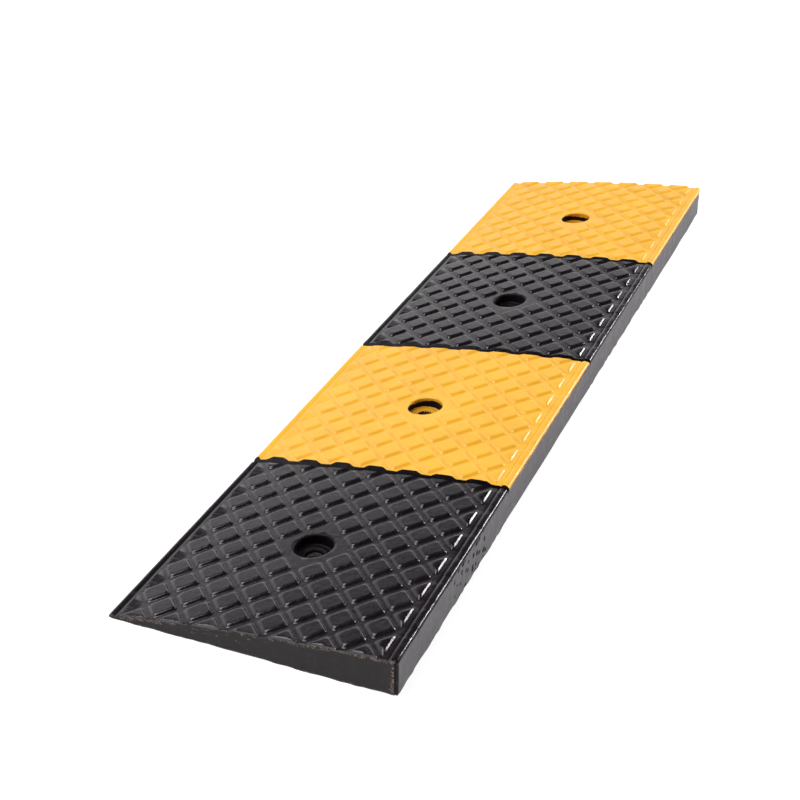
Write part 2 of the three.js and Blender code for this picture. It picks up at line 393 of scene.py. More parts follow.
def closed_solid(name, top, levels, foot, side_shift, sizes):
    """Closes a grid of top points to a solid. Its rim goes down to foot(x) in the given levels,
    moved inwards by side_shift, and strips along Y close it below. Outwards is the direction
    from the rim point two places back to the one two places on, turned by a right angle."""
    rows, columns = top.shape[:2]
    at = np.arange(rows * columns).reshape(rows, columns)
    loop = np.concatenate([at[0, :-1], at[:-1, -1], at[-1, :0:-1], at[:0:-1, 0]])
    rim = top.reshape(-1, 3)[loop]
    ahead = np.roll(rim, -2, axis=0) - np.roll(rim, 2, axis=0)
    outwards = np.stack([ahead[:, 1], -ahead[:, 0]], axis=-1)
    outwards /= np.hypot(*outwards.T)[:, None]
    level = np.asarray(levels)[1:, None]
    skirt = np.repeat(rim[None], len(level), axis=0)
    skirt[..., 2] = rim[:, 2] + (foot(rim[:, 0]) - rim[:, 2]) * level
    skirt[..., :2] -= outwards * side_shift(skirt, level)[..., None]
    points = np.concatenate([top.reshape(-1, 3), skirt.reshape(-1, 3)])
    turns = len(loop)
    below = rows * columns + np.arange(skirt[..., 0].size).reshape(-1, turns)
    rings = np.concatenate([loop[None], below])
    ahead = np.roll(rings, -1, axis=1)
    side = np.stack([rings[:-1], rings[1:], ahead[1:], ahead[:-1]], axis=-1).reshape(-1, 4)
    last = rings[-1]
    front = last[:columns]
    back = last[columns + rows - 2 :][:columns][::-1]
    right = last[columns - 1 : columns + rows - 1]
    left = np.append(last[2 * columns + rows - 3 :], last[0])[::-1]
    strips = np.stack([front[1:-2], back[1:-2], back[2:-1], front[2:-1]], axis=-1)
    thin_strip = np.concatenate([left, [back[1], front[1]]])[None]
    high_strip = np.concatenate([[front[-2], back[-2]], right[::-1]])[None]
    triangles = top_triangles(rows, columns, nearer_sum_wall(top, sizes))
    return new_piece(name, points, [triangles, side, strips, thin_strip, high_strip])


def tube_solid(name, sections):
    """A closed solid from a grid of points: each row is one closed section, and the first and
    the last section are capped."""
    rows, turns = sections.shape[:2]
    at = np.arange(rows * turns).reshape(rows, turns)
    ahead = np.roll(at, -1, axis=1)
    side = np.stack([at[:-1], ahead[:-1], ahead[1:], at[1:]], axis=-1).reshape(-1, 4)
    return new_piece(name, sections.reshape(-1, 3), [side, at[:1, ::-1], at[-1:]])


def new_piece(name, points, face_groups):
    """Puts points and faces into a new object at the origin. Each group is an array with one
    face to a row."""
    mesh = bpy.data.meshes.new(name)
    corners = np.concatenate([group.ravel() for group in face_groups]).astype(np.int32)
    counts = np.concatenate([np.full(len(group), group.shape[1]) for group in face_groups])
    starts = np.concatenate([[0], np.cumsum(counts)[:-1]]).astype(np.int32)
    mesh.vertices.add(len(points))
    mesh.vertices.foreach_set("co", np.asarray(points, np.float32).ravel())
    mesh.loops.add(len(corners))
    mesh.loops.foreach_set("vertex_index", corners)
    mesh.polygons.add(len(counts))
    mesh.polygons.foreach_set("loop_start", starts)
    mesh.update(calc_edges=True)
    mesh.validate()
    mark = mesh.attributes.new("cut_face", "INT", "FACE")
    mark.data.foreach_set("value", np.full(len(counts), "cutter" in name, np.int32))
    piece = bpy.data.objects.new(name, mesh)
    bpy.context.scene.collection.objects.link(piece)
    return piece


def cut(piece, cutters):
    """Takes the cutters out of a piece for good, and removes them."""
    for cutter in cutters:
        change = piece.modifiers.new(cutter.name, "BOOLEAN")
        change.operation = "DIFFERENCE"
        change.solver = "MANIFOLD"
        change.object = cutter
    graph = bpy.context.evaluated_depsgraph_get()
    mesh = bpy.data.meshes.new_from_object(piece.evaluated_get(graph))
    piece.modifiers.clear()
    old, piece.data = piece.data, mesh
    mesh.name = piece.name
    bpy.data.meshes.remove(old)
    for cutter in cutters:
        bpy.data.meshes.remove(cutter.data)


# ------------------------------------------------------------------ cutters


def seam_cutter(index, sizes):
    """V-shaped bar across the strip at the near end of a panel: at each x the section runs down
    one wall, over a narrow floor and up the other wall, with a little ragged shift."""
    y = CAD_LOW[1] + index * PANEL
    x = np.linspace(CAD_LOW[0] - 5 * MM, CAD_HIGH[0] + 5 * MM, 180)[:, None]
    depth = across(sizes.seam_depth_thin, sizes.seam_depth_high, x)
    reach = across(sizes.seam_thin, sizes.seam_high, x) / 2
    rise = np.concatenate([np.linspace(1, 0, 6), np.linspace(0, 1, 6)])[None]
    side = np.concatenate([-np.ones(6), np.ones(6)])[None]
    top = depth + 3.5 * MM
    per_rise = reach / (depth + sizes.pad_height) * top
    z = plain_height(x, sizes) - depth + rise * top
    points = np.stack(np.broadcast_arrays(x, y + 0 * z, z), axis=-1).copy()
    rough = 0.22 * MM * lumps(points, 2.2 * MM, 40 + index) + 0.3 * MM * lumps(points, 9 * MM, 50)
    points[..., 1] += side * (0.5 * MM + rise * (per_rise - 0.5 * MM)) + rough
    return tube_solid(f"seam_cutter_{index}", points)


def pocket_cutter(index, sizes):
    """Stepped plug for a bolt pocket, turned about the bolt's axis: bolt hole, washer room,
    pocket floor with a rounded corner, wall, and a lip that follows the plain surface."""
    washer_low, washer_high = node_box(WASHERS[index])
    undercut = (washer_high[0] - washer_low[0]) / 2 + ROOM
    floor, bore, wall = sizes.pocket_floor, sizes.bore_radius, sizes.pocket_radius
    under, over = washer_low[2] - ROOM, washer_high[2] + ROOM
    profile = np.array([  # radius, height, share of the height taken from the surface
        (bore, -5 * MM, 0), (bore, under, 0), (undercut, under, 0), (undercut, over, 0),
        (bore, over, 0), (bore, floor - 0.5 * MM, 0), (bore + 0.4 * MM, floor, 0),
        (wall - 5.8 * MM, floor, 0), (wall - 5.4 * MM, floor + 0.3 * MM, 0),
        (wall - 4.9 * MM, floor + 0.3 * MM, 0), (wall - 4.5 * MM, floor, 0),
        (wall - 1.4 * MM, floor, 0), (wall - 0.7 * MM, floor + 0.2 * MM, 0),
        (wall - 0.3 * MM, floor + 0.8 * MM, 0), (wall - 0.2 * MM, floor + 2 * MM, 0),
        (wall - 0.1 * MM, -4 * MM, 1), (wall, -1.6 * MM, 1), (wall + 0.2 * MM, -0.9 * MM, 1),
        (wall + 0.6 * MM, -0.4 * MM, 1), (wall + 1.2 * MM, -0.1 * MM, 1),
        (wall + 2 * MM, 0.25 * MM, 1), (wall + 2.5 * MM, 1.5 * MM, 1),
        (wall + 2.5 * MM, 9 * MM, 1),
    ])  # fmt: skip
    radius, height, share = profile.T[:, :, None]
    angle = np.linspace(0, 2 * math.pi, 84, endpoint=False)[None]
    y = float(node_middle(WASHERS[index])[1])
    ragged = np.stack(np.broadcast_arrays(np.cos(angle), np.sin(angle), height * 60), axis=-1)
    radius = radius + share * 0.25 * MM * lumps(ragged, 0.35, 60 + index)
    points = np.stack([
        BOLT_LINE + radius * np.cos(angle), y + radius * np.sin(angle), height + 0 * angle,
    ], axis=-1)  # fmt: skip
    points[..., 2] += share * plain_height(points[..., 0], sizes)
    return tube_solid(f"pocket_cutter_{index}", points)


def washer_points(name):
    """A washer's section turned about its axis, one row for each turn. The section is a small
    circle whose quarters move out to the corners of a rectangle, by the signs of its cosine and
    its sine."""
    low, high = node_box(name)
    middle = (low + high) / 2
    outer, inner = (high[0] - low[0]) / 2, WASHER_HOLE / 2
    edge = 0.35 * MM
    ring = np.linspace(0, 2 * math.pi, 24, endpoint=False)
    sideways = (outer - inner) / 2 - edge
    up = (high[2] - low[2]) / 2 - edge
    radius = (outer + inner) / 2 + np.sign(np.cos(ring)) * sideways + edge * np.cos(ring)
    z = middle[2] + np.sign(np.sin(ring)) * up + edge * np.sin(ring)
    turn = np.linspace(0, 2 * math.pi, 96, endpoint=False)[:, None]
    x, y = middle[0] + radius * np.cos(turn), middle[1] + radius * np.sin(turn)
    return np.stack(np.broadcast_arrays(x, y, z), axis=-1)


# ------------------------------------------------------------------ materials


def add_node(tree, kind, inputs=None, **settings):
    """Adds a shader node. inputs gives each named socket a value or another node's output."""
    made = tree.nodes.new("ShaderNode" + kind)
    for key, value in settings.items():
        setattr(made, key, value)
    for key, value in (inputs or {}).items():
        if isinstance(value, bpy.types.NodeSocket):
            tree.links.new(value, made.inputs[key])
        else:
            made.inputs[key].default_value = value
    return made


def blank_material(name):
    """A new material, with its node tree, its shader and the object's own coordinates."""
    material = bpy.data.materials.new(name)
    material.use_nodes = True
    tree = material.node_tree
    shader = tree.nodes["Principled BSDF"]
    place = add_node(tree, "TexCoord").outputs["Object"]
    return material, tree, shader, place


def noise(tree, place, size, detail=3.0, roughness=0.5):
    """Cloudy values round 0.5, with blotches about the given size in metres."""
    inputs = {"Vector": place, "Scale": 1 / size, "Detail": detail, "Roughness": roughness}
    return add_node(tree, "TexNoise", inputs).outputs["Fac"]


def stretched(tree, place, *factors):
    """Place times a factor for each axis. A factor under 1 draws a pattern out along it."""
    inputs = {"Vector": place, "Scale": factors}
    return add_node(tree, "Mapping", inputs).outputs["Vector"]


def spread(tree, value, low, high, to_low=0.0, to_high=1.0):
    """Maps values from low..high to to_low..to_high, smoothly and without going past."""
    inputs = {
        "Value": value, "From Min": low, "From Max": high, "To Min": to_low, "To Max": to_high,
    }  # fmt: skip
    return add_node(tree, "MapRange", inputs, interpolation_type="SMOOTHSTEP").outputs["Result"]


def blend(tree, factor, one, other):
    """Mixes two colours. A colour mix keeps its sockets at places 0, 6 and 7."""
    inputs = {0: factor, 6: one, 7: other}
    return add_node(tree, "Mix", inputs, data_type="RGBA").outputs[2]


def two_tone(tree, base, value, dark, light):
    """A colour that goes from its dark to its light shade as the value goes from 0.3 to 0.7."""
    return blend(tree, spread(tree, value, 0.3, 0.7), shade(base, dark), shade(base, light))


def laid_over(tree, base, amount, factor, top):
    """Lays a colour over the base, as strongly as amount times factor."""
    return blend(tree, combine(tree, "MULTIPLY", amount, factor), base, top)


def frayed(tree, value, cloudy, reach):
    """Adds a cloudy value, taken as -0.5 to 0.5, times reach."""
    centred = combine(tree, "SUBTRACT", cloudy, 0.5)
    return combine(tree, "ADD", value, combine(tree, "MULTIPLY", centred, reach))


def stored(tree, name):
    """The number that set_value stored for each vertex."""
    return add_node(tree, "Attribute", attribute_name=name).outputs["Fac"]


def combine(tree, operation, one, other):
    """One sum, product or other operation on two numbers."""
    return add_node(tree, "Math", {0: one, 1: other}, operation=operation).outputs[0]


def bump(tree, *layers):
    """Stacks bump nodes: each layer is a height, its depth in metres and its strength."""
    normal = None
    for height, depth, strength in layers:
        inputs = {"Height": height, "Distance": depth, "Strength": strength}
        if normal is not None:
            inputs["Normal"] = normal
        normal = add_node(tree, "Bump", inputs).outputs["Normal"]
    return normal


def shade(value, factor):
    """A colour times a factor, with the fourth number that a colour socket takes."""
    return (*(min(1, channel * factor) for channel in value), 1)


def join(tree, shader, base, roughness, normal):
    """Links a material's three patterns to its shader."""
    outputs = {"Base Color": base, "Roughness": roughness, "Normal": normal}
    for name, output in outputs.items():
        tree.links.new(output, shader.inputs[name])


def tread_rubber(colours, name, tone, dullness):
    """Black rubber: satin, cloudy in gloss, with a fine leathery skin, a pale colour along the
    diamonds' far edges that is partly dust and partly a painted highlight, and yellow run over it
    where the paint attribute says so. A tone under 1 darkens it as painted shade, and dullness
    makes it duller."""
    material, tree, shader, place = blank_material(name)
    shader.inputs["Specular IOR Level"].default_value = 0.5 - 0.35 * dullness
    shader.inputs["Specular Tint"].default_value = (1, 0.95, 1, 1)
    clouds = noise(tree, place, 30 * MM, 4)
    grain = noise(tree, place, 1.1 * MM, 3, 0.6)
    lump = noise(tree, place, 5 * MM, 2)
    black = two_tone(tree, colours.black, clouds, 0.7 * tone, 1.3 * tone)
    patchy = spread(tree, noise(tree, place, 16 * MM, 5, 0.7), 0.38, 0.62)
    # Pale colour along the diamonds' far upper edges: dust, and a painted highlight where light
    # catches the rounded edges.
    dust_and_highlight = combine(tree, "MULTIPLY", stored(tree, "dust_and_highlight"), patchy)
    black = laid_over(tree, black, dust_and_highlight, 0.6, shade(colours.dust_and_highlight, 1))
    scuffs = noise(tree, stretched(tree, place, 1, 0.3, 1), 2.5 * MM, 5, 0.7)
    scuffs = spread(tree, scuffs, 0.5, 0.8)
    black = laid_over(tree, black, scuffs, 0.3, shade(colours.dust_and_highlight, 0.7))
    specks = spread(tree, noise(tree, place, 1.4 * MM, 3, 0.6), 0.7, 0.8)
    black = laid_over(tree, black, specks, 0.5, shade(colours.dust_and_highlight, 1.2))
    painted = frayed(tree, stored(tree, "paint"), noise(tree, place, 3 * MM, 4, 0.7), 5.0)
    skin_tones = shade(colours.orange, 0.8), shade(colours.yellow, 0.75)
    skin = blend(tree, spread(tree, clouds, 0.35, 0.6), *skin_tones)
    base = blend(tree, spread(tree, painted, -0.15, 0.15), black, skin)
    glossy, matt = 0.16 + 0.28 * dullness, 0.3 + 0.3 * dullness
    gloss = spread(tree, noise(tree, place, 9 * MM, 5, 0.6), 0.25, 0.75, glossy, matt)
    normal = bump(tree, (lump, 0.5 * MM, 0.28), (scuffs, 0.15 * MM, 0.2), (grain, 0.1 * MM, 0.25))
    join(tree, shader, base, gloss, normal)
    return material


def wall_rubber(colours):
    """Upright wall: dull grey-black, much lighter than the tread as painted light, mottled, with
    faint upright streaks, dark pits where the pits attribute is high, and dark lines of painted
    shade along its upper and lower edges."""
    material, tree, shader, place = blank_material("lit_grey_wall_rubber")
    mottle = noise(tree, place, 14 * MM, 6, 0.65)
    streaks = noise(tree, stretched(tree, place, 1, 1, 0.12), 3 * MM, 4, 0.6)
    wavy = noise(tree, place, 3 * MM, 3, 0.6)
    cells = {"Vector": place, "Scale": 1 / (8 * MM)}
    away = add_node(tree, "TexVoronoi", cells).outputs["Distance"]
    away = combine(tree, "ADD", away, combine(tree, "MULTIPLY", wavy, 0.2))
    pit_size = combine(tree, "MULTIPLY", noise(tree, place, 6 * MM, 2), stored(tree, "pits"))
    pit_size = combine(tree, "MULTIPLY", pit_size, 0.75)
    pitted = spread(tree, combine(tree, "SUBTRACT", away, pit_size), 0.0, 0.1, 1, 0)
    # Dark lines of painted shade under the rim's roll and along the wall's foot.
    line = spread(tree, frayed(tree, stored(tree, "line"), wavy, 1.6), 0.35, 0.75)
    # Grey much lighter than the tread's black: painted light on the wall.
    grey = two_tone(tree, colours.wall, mottle, 0.45, 1.4)
    grey = blend(tree, spread(tree, streaks, 0.5, 0.75, 0, 0.5), grey, shade(colours.wall, 1.6))
    # Pits, and the painted shade lines, darken the grey and lose their sheen.
    pits_and_shade_lines = combine(tree, "MAXIMUM", pitted, line)
    grey = laid_over(tree, grey, pits_and_shade_lines, 0.9, shade(colours.black, 0.5))
    tree.links.new(spread(tree, pits_and_shade_lines, 0.2, 0.8, 0.5, 0.05), shader.inputs["Specular IOR Level"])
    gloss = spread(tree, mottle, 0.3, 0.7, 0.42, 0.75)
    grain = noise(tree, place, 0.9 * MM, 4, 0.7)
    dents = (mottle, 1.5 * MM, 0.5), (streaks, 0.2 * MM, 0.4), (grain, 0.2 * MM, 0.6)
    join(tree, shader, grey, gloss, bump(tree, *dents))
    return material


def end_rubber(colours):
    """End faces: brownish black, sawn and scuffed, with pale specks, and torn pale crumbs along
    the edges where the rub attribute is high."""
    material, tree, shader, place = blank_material("scuffed_end_rubber")
    shader.inputs["Specular IOR Level"].default_value = 0.26
    mottle = noise(tree, place, 9 * MM, 6, 0.7)
    scuffs = noise(tree, stretched(tree, place, 0.35, 1, 1), 2.2 * MM, 5, 0.7)
    brown = two_tone(tree, colours.end, mottle, 0.45, 1.6)
    near_edge = frayed(tree, stored(tree, "rub"), scuffs, 4.5)
    broken = spread(tree, noise(tree, place, 1.8 * MM, 4, 0.7), 0.42, 0.62)
    torn = combine(tree, "MULTIPLY", spread(tree, near_edge, 0.15, 0.75, 0, 0.95), broken)
    brown = blend(tree, torn, brown, shade(colours.crumbs, 1))
    specks = spread(tree, noise(tree, place, 1.0 * MM, 2, 0.5), 0.7, 0.78)
    brown = laid_over(tree, brown, specks, 0.7, shade(colours.crumbs, 1.6))
    gloss = spread(tree, mottle, 0.3, 0.7, 0.5, 0.75)
    normal = bump(tree, (mottle, 0.7 * MM, 0.4), (scuffs, 0.3 * MM, 0.5), (torn, 0.5 * MM, 0.6))
    join(tree, shader, brown, gloss, normal)
    return material


def facing_rubber(colours):
    """Yellow facing: satin, a little deeper where it is thin, with small black chips."""
    material, tree, shader, place = blank_material("yellow_facing_rubber")
    clouds = noise(tree, place, 40 * MM, 3)
    lump = noise(tree, place, 7 * MM, 2)
    grain = noise(tree, place, 1.3 * MM, 3, 0.6)
    yellow = two_tone(tree, colours.yellow, clouds, 0.96, 1.05)
    thin = spread(tree, noise(tree, place, 6 * MM, 4, 0.6), 0.62, 0.8, 0, 0.25)
    yellow = blend(tree, thin, yellow, shade(colours.orange, 1))
    chips = spread(tree, noise(tree, place, 2.6 * MM, 3, 0.75), 0.765, 0.8)
    yellow = blend(tree, chips, yellow, shade(colours.black, 1))
    gloss = spread(tree, noise(tree, place, 10 * MM, 4, 0.6), 0.3, 0.7, 0.3, 0.46)
    join(tree, shader, yellow, gloss, bump(tree, (lump, 0.5 * MM, 0.3), (grain, 0.1 * MM, 0.25)))
    return material


def zinc_steel(colours):
    """Zinc plated steel, darkened to near black as painted shade of the bolt pocket: mottled
    spangle in colour and gloss, with fine scratches.
    """
    material, tree, shader, place = blank_material("shaded_zinc_plated_steel")
    shader.inputs["Metallic"].default_value = 1
    spangle = noise(tree, place, 3 * MM, 3)
    scratches = noise(tree, stretched(tree, place, 0.1, 1, 1), 0.4 * MM, 3)
    zinc = two_tone(tree, colours.zinc, spangle, 0.8, 1.1)
    gloss = spread(tree, spangle, 0.3, 0.7, 0.42, 0.6)
    join(tree, shader, zinc, gloss, bump(tree, (scratches, 0.05 * MM, 0.3)))
    return material


def studio_floor(colours, glow):
    """Plain pale paper with a hardly visible fibre."""
    material, tree, shader, place = blank_material("pale_floor")
    fibre = noise(tree, place, 2 * MM, 2)
    tone = blend(tree, fibre, shade(colours.floor, 0.99), shade(colours.floor, 1.01))
    tree.links.new(tone, shader.inputs["Base Color"])
    shader.inputs["Roughness"].default_value = 0.9
    shader.inputs["Specular IOR Level"].default_value = 0.0
    shader.inputs["Emission Color"].default_value = (1, 1, 1, 1)
    shader.inputs["Emission Strength"].default_value = glow
    return material


# ------------------------------------------------------------------ finishing a piece


def face_facts(mesh):
    """Middle and normal of every face."""
    count = len(mesh.polygons)
    middle, normal = np.empty(count * 3, np.float32), np.empty(count * 3, np.float32)
    mesh.polygons.foreach_get("center", middle)
    mesh.polygons.foreach_get("normal", normal)
    return middle.reshape(-1, 3), normal.reshape(-1, 3)


def cut_faces(mesh):
    """1 for the faces that a cutter left, 0 for the others."""
    mark = np.empty(len(mesh.polygons), np.int32)
    mesh.attributes["cut_face"].data.foreach_get("value", mark)
    return mark


def vertex_places(mesh):
    place = np.empty(len(mesh.vertices) * 3, np.float32)
    mesh.vertices.foreach_get("co", place)
    return place.reshape(-1, 3)


def set_value(mesh, name, values):
    """Stores one number for each vertex, which a material reads by name."""
    layer = mesh.attributes.new(name, "FLOAT", "POINT")
    layer.data.foreach_set("value", np.asarray(values, np.float32))


def finish_piece(piece, materials, face_material, slot_name, *nodes):
    """Gives a piece its materials and smooth shading, and hangs it on the frame in place of the
    CAD nodes."""
    mesh = piece.data
    mesh.materials.clear()
    for material in materials:
        mesh.materials.append(material)
    mesh.polygons.foreach_set("material_index", np.asarray(face_material, np.int32))
    mesh.shade_smooth()
    mesh.set_sharp_from_angle(angle=math.radians(42))
    mesh.update()
    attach(piece, BODY)
    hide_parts(*nodes)


def paint_over_pockets(place, sizes):
    """How far inside the yellow each vertex of the body is, in millimetres. In the pockets of
    the yellow panels it covers the lip, some of the wall and most of the floor."""
    paint = np.full(len(place), UNPAINTED)
    for index in YELLOW_PANELS.values():
        middle = node_middle(WASHERS[index])
        away = place[:, :2] - middle[:2]
        radius = np.hypot(away[:, 0], away[:, 1])
        turn = np.arctan2(away[:, 1], away[:, 0])
        depth = (plain_height(place[:, 0], sizes) - place[:, 2]) / MM
        down = 3.4 + 2.2 * np.cos(turn - 0.3) + 1.5 * np.cos(2 * turn + index) - depth
        on_floor = place[:, 2] < sizes.pocket_floor + 0.5 * MM
        floor_paint = np.where(radius > sizes.bore_radius, 2.2 - 0.3 * (index - 1), UNPAINTED)
        here = np.where(on_floor, floor_paint, down)
        paint = np.where(radius < sizes.pocket_radius + 1.5 * MM, here, paint)
    return paint


def dusty_highlit_edges(place, sizes):
    """1 on the diamonds' upper edges that face along +Y, falling to 0 within a millimetre: where
    dust and a painted highlight are laid on.
    """
    u = (place[:, 0] - FIELD_START) / HALF_X
    v = ((place[:, 1] - CAD_LOW[1]) % PANEL) / HALF_Y
    sums = np.stack([u + v, u - v])
    middle = 2 * np.floor(sums / 2) + 1
    towards_far = np.stack([middle[0] - sums[0], sums[1] - middle[1]])
    inside = ((1 + towards_far) * TO_MIDDLE - sizes.channel / 2).min(axis=0) / MM
    in_field = (u > 0.2) & (u < HALF_CELLS - 0.1)
    on_top = place[:, 2] > plain_height(place[:, 0], sizes) + 0.6 * sizes.pad_height
    return np.where(in_field & on_top, 1 - smoothstep(inside, 0.8, 1.9), 0)


def rub_near_edges(place, sizes):
    """How torn the edges of the end faces are: 1 at an edge, falling to -1 inside, times a
    weight that is high near both ends of the top edge and low between them."""
    x, z = place[:, 0], place[:, 2]
    below = (plain_height(x, sizes) + 0.3 * MM - z) / MM
    stations = np.array([-125, -112, -100, -72, -60, 15, 35, 110, 125]) * MM
    weight = np.interp(x, stations, [0.1, 0.7, 1.0, 0.9, 0.1, 0.1, 0.8, 1.0, 1.0])
    top = weight * (1.5 - below / 2.6)
    bottom = 0.9 - z / (2 * MM)
    side = 1.2 - (CAD_HIGH[0] - 3.5 * MM - x) / (1.5 * MM + 4 * MM * np.exp(-z / (9 * MM)))
    return np.clip(np.maximum(np.maximum(top, bottom), side), -1, 1)


def body_faces(middle, normal, is_cut, sizes):
    """Which of the body's materials each face takes, from its middle and its normal. Cut faces
    (seams and pockets) and the rim's outer roll take the darker, duller black rubber, whose darker
    tone is painted shade. Of the upright faces below the rims, those that face along X at the high
    edge are the wall, the rounded corners beside it take the same darker rubber as painted shade,
    and those that face along Y at an end are the end."""
    x, y, z = middle.T
    kind = np.where(is_cut, SHADED_DULL, TREAD)
    # The rim's outer roll and the rounded corners beside the wall take the darker rubber as painted
    # shade.
    kind[(x > CAD_HIGH[0] - 0.7 * MM) & (z > sizes.high_edge - 3 * MM)] = SHADED_DULL
    level = np.hypot(normal[:, 0], normal[:, 1])
    upright = (z < plain_height(x, sizes) - 0.4 * MM) & (level > 0.5) & (kind == TREAD)
    kind[upright & (x > CAD_HIGH[0] - 6 * MM)] = SHADED_DULL
    kind[upright & (normal[:, 0] > 0.95 * level) & (x > CAD_HIGH[0] - 3 * MM)] = WALL
    at_end = (np.abs(y) > CAD_HIGH[1] - 3 * MM) & (x < CAD_HIGH[0] - 3 * MM)
    kind[upright & at_end & (np.abs(normal[:, 1]) > 0.9 * level)] = END
    return kind


def pits_on_wall(place):
    """1 in the pitted stretch of the wall of the first panel, 0.12 elsewhere."""
    away = np.abs(place[:, 1] - (CAD_LOW[1] + 0.64 * PANEL)) / (0.2 * PANEL)
    return 0.12 + 0.88 * (1 - smoothstep(away, 0.5, 1.2))


def shade_lines_on_wall(place, sizes):
    """1 along the upper and the lower edge of the wall, falling to 0 within a millimetre: where
    dark lines of painted shade go, under the rim's roll and along the foot.
    """
    top = plain_height(CAD_HIGH[0], sizes) - 2 * MM
    from_top, from_foot = top - place[:, 2], place[:, 2]
    return 1 - smoothstep(np.minimum(from_top, from_foot + 0.2 * MM), 0.2 * MM, 1.3 * MM)


# ------------------------------------------------------------------ operators


class KERBRAMP_OT_moulded_body(bpy.types.Operator):
    """Build the black moulded body with its walls, seams and bolt pockets"""

    bl_idname = "kerb_ramp.moulded_body"
    bl_label = "Moulded Body"

    def execute(self, context):
        sizes, colours = context.scene.kerb_ramp_sizes, context.scene.kerb_ramp_colours
        yellow = set(YELLOW_PANELS.values())
        parts = [
            recess_points(index, sizes) if index in yellow
            else tread_points(index, sizes.pad_softness, 10 * index + 1, sizes)
            for index in range(PANELS)
        ]
        parts[0] = with_rounded_end(parts[0], 0)
        top = weathered_ends(np.concatenate(parts))

        def side_shift(points, level):
            """A rough set-back over the whole wall, and a ragged one more along its foot."""
            rough = 0.15 * lumps(points, 4 * MM, 70) + 0.2 * lumps(points, 17 * MM, 71)
            foot = (0.55 + 0.5 * lumps(points, 6 * MM, 72)) * smoothstep(level, 0.93, 1)
            back = np.clip(0.4 + rough, 0.05, 1) * smoothstep(level, 0, 0.06)
            return MM * (back + foot.clip(0))

        levels = [0, 0.03, 0.06, 0.12, 0.2, 0.3, 0.4, 0.5, 0.6, 0.7, 0.8, 0.88, 0.94, 0.97, 1]
        piece = closed_solid("moulded_body", top, levels, np.zeros_like, side_shift, sizes)
        cutters = [seam_cutter(index, sizes) for index in range(1, PANELS)]
        cutters += [pocket_cutter(index, sizes) for index in range(PANELS)]
        cut(piece, cutters)
        middle, normal = face_facts(piece.data)
        kind = body_faces(middle, normal, cut_faces(piece.data) == 1, sizes)
        place = vertex_places(piece.data)
        set_value(piece.data, "paint", paint_over_pockets(place, sizes))
        set_value(piece.data, "rub", rub_near_edges(place, sizes))
        # Dust and painted highlight along the diamonds' far edges.
        set_value(piece.data, "dust_and_highlight", dusty_highlit_edges(place, sizes))
        set_value(piece.data, "pits", pits_on_wall(place))
        # Where the wall gets its dark lines of painted shade.
        set_value(piece.data, "line", shade_lines_on_wall(place, sizes))
        materials = [
            tread_rubber(colours, "black_tread_rubber", 1, 0),
            wall_rubber(colours),
            end_rubber(colours),
            # Tone 0.5 darkens this copy of the tread rubber as painted shade.
            tread_rubber(colours, "shaded_dull_black_rubber", 0.5, 1),
        ]
        finish_piece(piece, materials, kind, "black_rubber", "rubber_body")
        return {"FINISHED"}


class KERBRAMP_OT_yellow_facings(bpy.types.Operator):
    """Build the two yellow facings, cut by the seams and the bolt pockets"""

    bl_idname = "kerb_ramp.yellow_facings"
    bl_label = "Yellow Facings"

    def execute(self, context):
        sizes, colours = context.scene.kerb_ramp_sizes, context.scene.kerb_ramp_colours
        yellow, black = facing_rubber(colours), bpy.data.materials["shaded_dull_black_rubber"]
        for name, index in YELLOW_PANELS.items():
            top = tread_points(index, 1.1 * sizes.pad_softness, 10 * index + 1, sizes)

            def foot(x):
                """The facing's underside, level with the plain surface less its thickness."""
                return plain_height(x, sizes) - sizes.facing

            def side_shift(points, level):
                """A rough set-back that grows down to half the facing's depth."""
                rough = 0.12 * lumps(points, 5 * MM, 80)
                return MM * np.clip(0.15 + rough, 0, 1) * smoothstep(level, 0, 0.5)

            if index == PANELS - 1:
                top = with_rounded_end(top, -1)
            top = weathered_ends(top)
            piece = closed_solid(f"{name}_skin", top, [0, 0.35, 0.7, 1], foot, side_shift, sizes)
            seams = [number for number in (index, index + 1) if number < PANELS]
            cutters = [seam_cutter(number, sizes) for number in seams]
            cut(piece, cutters + [pocket_cutter(index, sizes)])
            middle, normal = face_facts(piece.data)
            start = CAD_LOW[1] + index * PANEL
            at_seam = np.minimum(middle[:, 1] - start, start + PANEL - middle[:, 1]) < 9 * MM
            # Cut faces at the seams take the black rubber, its darker tone painted shade.
            bare = at_seam & (cut_faces(piece.data) == 1)
            place = vertex_places(piece.data)
            set_value(piece.data, "paint", np.full(len(place), UNPAINTED))
            # Dust and painted highlight along the diamonds' far edges.
            set_value(piece.data, "dust_and_highlight", dusty_highlit_edges(place, sizes))
            finish_piece(piece, [yellow, black], bare.astype(int), "yellow_rubber", name)
        return {"FINISHED"}


class KERBRAMP_OT_bolt_washers(bpy.types.Operator):
    """Build the steel washers moulded in under the bolt pockets, with rounded edges"""

    bl_idname = "kerb_ramp.bolt_washers"
    bl_label = "Bolt Washers"

    def execute(self, context):
        zinc = zinc_steel(context.scene.kerb_ramp_colours)
        for name in WASHERS:
            points = washer_points(name)
            at = np.arange(points[..., 0].size).reshape(points.shape[:2])
            next_turn, next_side = np.roll(at, -1, axis=0), np.roll(at, -1, axis=1)
            both = np.roll(next_turn, -1, axis=1)
            faces = np.stack([at, next_turn, both, next_side], axis=-1).reshape(-1, 4)
            piece = new_piece(f"{name}_zinc", points.reshape(-1, 3), [faces])
            finish_piece(piece, [zinc], np.zeros(len(faces)), "zinc_steel", name)
        return {"FINISHED"}


